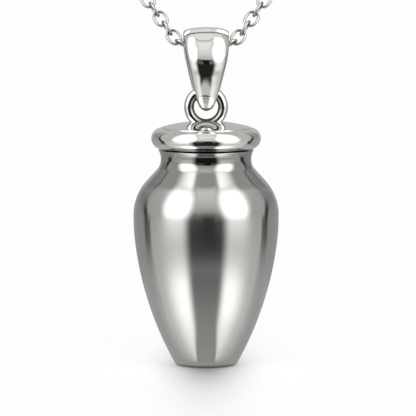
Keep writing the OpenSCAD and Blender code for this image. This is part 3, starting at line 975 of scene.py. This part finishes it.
def bail_section(station, front):
    half = half_section(station)
    whole = half + [(-x, y, z) for x, y, z in reversed(half[1:-1])]
    turn = radians(bail_turn)
    placed = []
    for x, depth, z in whole:
        y = -depth if front else depth
        hung = Vector((x * cos(turn) - y * sin(turn), x * sin(turn) + y * cos(turn), z))
        placed.append(PENDANT + hung * MM)
    return placed


sections = [bail_section(s, True) for s in range(last_station + 1)]
sections += [bail_section(s, False) for s in range(last_station - 1, 0, -1)]
rows, sides = len(sections), len(sections[0])
points = [point for section in sections for point in section]
bail = mesh_piece("bail_loop", points, closed_faces(rows, sides), steels["bright_steel"])
print("bail:", rows, "sections of", sides, "points")

# %% [markdown]
# The crease beside the roll is one row of points wide. Its edges are marked sharp, so that the reflections
# break there and not over a soft band, and a fine dark line of painted shade lies in it.

# %% The bail's crease
CREASE_ROWS = 2.4  # over so many rows of points the painted shade in the crease fades out
crease_rows = {row for s in (FACE_STATIONS, FACE_STATIONS + 1) for row in (s, rows - s)}
on_dome = set(range(DOME_STEPS + 1)) | set(range(sides - DOME_STEPS, sides))


def along_crease(edge):
    in_rows = {v // sides for v in edge.vertices}
    return len(in_rows) == 1 and in_rows <= crease_rows and {v % sides for v in edge.vertices} <= on_dome


store(bail.data, "sharp_edge", [along_crease(edge) for edge in bail.data.edges], "BOOLEAN", "EDGE")
# painted shade: a fine dark line along the crease
row_of = [min(v // sides, rows - v // sides) for v in range(len(bail.data.vertices))]
painted_shade = [max(0, 1 - abs(row - FACE_STATIONS - 0.5) / CREASE_ROWS) * (v % sides in on_dome)
        for v, row in enumerate(row_of)]
store(bail.data, "painted_shade", painted_shade)
print("crease marked, volume and open edges", face_outwards(bail))

# %% [markdown]
# ## The route of the chain
# The necklace is a whole loop of 458 mm: up from the bail on both sides, round the neck, and level behind it.
# A few points and a bend radius at each are enough. We draw them as a bare line of edges, and the tree below
# rounds the corners itself with `Fillet Curve`.

# %% Chain route
link_l, link_w, wire_d, play, link_turn = 2.34, 1.8, 0.36, 0.14, 18
clasp_w, clasp_wire, clasp_min_l = 4.2, 0.9, 8
# x, y, z and bend radius of the right half, from under the bail to the nape
ROUTE = [(0, -100, -122, 0), (3.26, -100, -122, 3.26), (64, -63, -36, 44), (58, 0, 0, 38), (0, 0, 0, 0)]
FRONT_HALF = 80
BEND_STEPS = 24
pitch = link_l - 2 * wire_d - play

loop = [(-x, y, z, bend) for x, y, z, bend in reversed(ROUTE[1:])] + ROUTE[1:]
route_mesh = line_mesh("route", [(x * MM, y * MM, z * MM) for x, y, z, _ in loop])
store(route_mesh, "bend", [row[3] * MM for row in loop])


def half_length():
    """length of half the loop, with each bend as an arc cut into steps"""
    points = [Vector(row[:3]) for row in ROUTE]
    total = sum((b - a).length for a, b in zip(points, points[1:]))
    for a, p, b, row in zip(points, points[1:], points[2:], ROUTE[1:]):
        turn = (p - a).angle(b - p)
        total += BEND_STEPS * 2 * row[3] * sin(turn / 2 / BEND_STEPS) - 2 * row[3] * tan(turn / 2)
    return total


half_l = half_length()
links_half = 2 * int((half_l - clasp_min_l / 2) / (2 * pitch))
clasp_hook = (link_l - wire_d) / 2 - (wire_d + clasp_wire) / 2 - play
clasp_l = 2 * (half_l - links_half * pitch - clasp_hook) + clasp_wire
print("loop", round(2 * half_l, 1), "mm,", 2 * links_half + 1, "links, clasp", round(clasp_l, 2), "mm")

# %% [markdown]
# ## One tree for every link
# The tree samples the route at every joint between links and puts one link between each pair of joints,
# turned so that neighbours stand at right angles, as real cable chain does. The neck's middle tells a link
# which way is outward. The links are instances until `Realize Instances` makes them one mesh.

# %% Chain tree
chain, given = new_tree("chain", [("Geometry", GEOMETRY), ("First", INT), ("Count", INT), ("Pitch", FLOAT),
                                  ("Turn", FLOAT), ("Bend Steps", INT), ("Neck Middle", VECTOR),
                                  ("Skip From", INT), ("Skip To", INT), ("Link Shape", "NodeSocketObject"),
                                  ("Material", MATERIAL)])
path = put(chain, "GeometryNodeMeshToCurve", {"Mesh": given["Geometry"]}).outputs[0]
path = put(chain, "GeometryNodeFilletCurve", {"Curve": path, "Count": given["Bend Steps"],
                                              "Radius": stored(chain, "bend")}, mode="POLY").outputs[0]
path_length = put(chain, "GeometryNodeCurveLength", {"Curve": path}).outputs[0]
middle = math(chain, "MULTIPLY", path_length, 0.5)
links = put(chain, "GeometryNodeMeshLine", {"Count": given["Count"]}).outputs[0]
number = math(chain, "ADD", put(chain, "GeometryNodeInputIndex").outputs[0], given["First"])


def joint(offset):
    """the point on the route half a link before or after this link's own place"""
    from_middle = math(chain, "MULTIPLY", math(chain, "ADD", number, offset), given["Pitch"])
    at = math(chain, "ADD", middle, from_middle)
    return put(chain, "GeometryNodeSampleCurve", {"Curves": path, "Length": at}, mode="LENGTH",
               use_all_curves=True).outputs["Position"]


start, end = joint(-0.5), joint(0.5)
centre = vector_math(chain, "MULTIPLY", vector_math(chain, "ADD", start, end), (0.5, 0.5, 0.5))
along = vector_math(chain, "NORMALIZE", vector_math(chain, "SUBTRACT", end, start))
from_neck = vector_math(chain, "SUBTRACT", centre, given["Neck Middle"])
spoke = vector_math(chain, "MULTIPLY", from_neck, (1, 1, 0))
out = vector_math(chain, "SUBTRACT", spoke, vector_math(chain, "PROJECT", spoke, along))
out = vector_math(chain, "NORMALIZE", out)
out = put(chain, "ShaderNodeVectorRotate", {"Vector": out, "Axis": along, "Angle": given["Turn"]}).outputs[0]
on_edge = math(chain, "LESS_THAN", math(chain, "PINGPONG", number, 1.0), 0.5)
flat = mixed(chain, on_edge, out, vector_math(chain, "CROSS_PRODUCT", along, out), "VECTOR")
stand = put(chain, "FunctionNodeAxesToRotation", {"Primary Axis": along, "Secondary Axis": flat},
            primary_axis="X", secondary_axis="Z").outputs[0]
placed = then(chain, "GeometryNodeSetPosition", links, {"Position": centre})
past_start = math(chain, "GREATER_THAN", number, math(chain, "SUBTRACT", given["Skip From"], 0.5))
before_end = math(chain, "LESS_THAN", number, math(chain, "ADD", given["Skip To"], 0.5))
kept = math(chain, "SUBTRACT", 1.0, math(chain, "MULTIPLY", past_start, before_end))
link_shape = put(chain, "GeometryNodeObjectInfo", {"Object": given["Link Shape"]}).outputs["Geometry"]
shape = put(chain, "GeometryNodeInstanceOnPoints", {"Points": placed, "Instance": link_shape,
                                                    "Rotation": stand, "Selection": kept}).outputs[0]
end_tree(chain, shape, given["Material"])
print("chain tree with", len(chain.nodes), "nodes")

# %% [markdown]
# ## Front and back of the chain
# A link is a wire bent to an oval, so the same closed band of faces that made the ring makes it, with few
# faces because there are hundreds. The front links are the ones that a viewer sees near, and the back ones
# are a little simpler still. Front and back each become one plain mesh that stands for its solid.

# %% Chain
NECK_MIDDLE = Vector((0, -50, 0)) * MM


def oval_point(length, width, wire, upright=False):
    """a function that places points on an oval of round wire, lying flat or standing upright"""
    end_r, straight = (width - wire) / 2, (length - width) / 2
    arc_share = pi * end_r / (pi * end_r + 2 * straight)

    def place(around, across):
        half, t = divmod(around * 2, 1)
        side = 1 if half == 0 else -1
        if t < arc_share:
            a = pi * (t / arc_share - 0.5)
            x, y, normal = straight + end_r * cos(a), end_r * sin(a), (cos(a), sin(a))
        else:
            x, y, normal = straight * (1 - 2 * (t - arc_share) / (1 - arc_share)), end_r, (0, 1)
        b = 2 * pi * across
        out, up = wire / 2 * cos(b), wire / 2 * sin(b)
        x, y = side * (x + out * normal[0]), side * (y + out * normal[1])
        return Vector((x, up, y) if upright else (x, y, up)) * MM

    return place


def painted_shade_at(vertex):
    """the painted shade: 1 inside the two bends of a link, where its neighbours lie, and 0 outside"""
    x, y = abs(vertex.co.x) / MM - (link_l - link_w) / 2, vertex.co.y / MM
    inward = (link_w - wire_d) / 2 - hypot(max(x, 0), y)
    return min(1, max(0, inward / (wire_d / 2))) * min(1, max(0, x / (link_w / 2 - wire_d)))


def chain_piece(name, rings, sides, first, count, skip_from, skip_to):
    link = mesh_piece(name + "_link", *torus_grid(rings, sides, oval_point(link_l, link_w, wire_d)))
    face_outwards(link)
    # painted shade inside each link's bends, where neighbouring links lie
    store(link.data, "painted_shade", [painted_shade_at(v) for v in link.data.vertices])
    values = {"First": first, "Count": count, "Pitch": pitch * MM, "Turn": -radians(link_turn),
              "Bend Steps": BEND_STEPS, "Neck Middle": NECK_MIDDLE, "Skip From": skip_from,
              "Skip To": skip_to, "Link Shape": link, "Material": steels["chain_steel"]}
    piece = grow(name, route_mesh, chain, values)
    bpy.data.objects.remove(link)
    faces = len(piece.data.polygons)
    print(name, "has", faces // (rings * sides), "links,", faces, "faces")
    return piece


FRONT_LINK, BACK_LINK = (16, 6), (12, 5)  # rings round a link and sides of its wire
front = chain_piece("front_links", *FRONT_LINK, -FRONT_HALF, 2 * FRONT_HALF + 1, 1, 0)
behind = chain_piece("back_links", *BACK_LINK, -links_half, 2 * links_half + 1, -FRONT_HALF, FRONT_HALF)

CLASP_STEPS = (56, 16)
clasp = mesh_piece("clasp_oval", *torus_grid(*CLASP_STEPS, oval_point(clasp_l, clasp_w, clasp_wire, True)),
                   steels["chain_steel"])
print("clasp: volume and open edges", face_outwards(clasp))

# %% [markdown]
# ## Dressing the frame
# Each finished piece rides on the body that carries it and stands for its solid. The bail swings on the
# chain, the ring in the bail, and the urn leaves the lid.

# %% Ride and replace
for piece, body, node, slot in [
    (urn, "urn", "urn", "urn_steel"),
    (lid, "lid", "lid", "bright_steel"),
    (bail, "bail", "bail", "bright_steel"),
    (front, "necklace", "chain_front", "chain_steel"),
    (behind, "necklace", "chain_back", "chain_steel"),
    (clasp, "necklace", "clasp", "chain_steel"),
]:
    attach(piece, body)
    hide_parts(node)
    print(piece.name, "stands for", node)
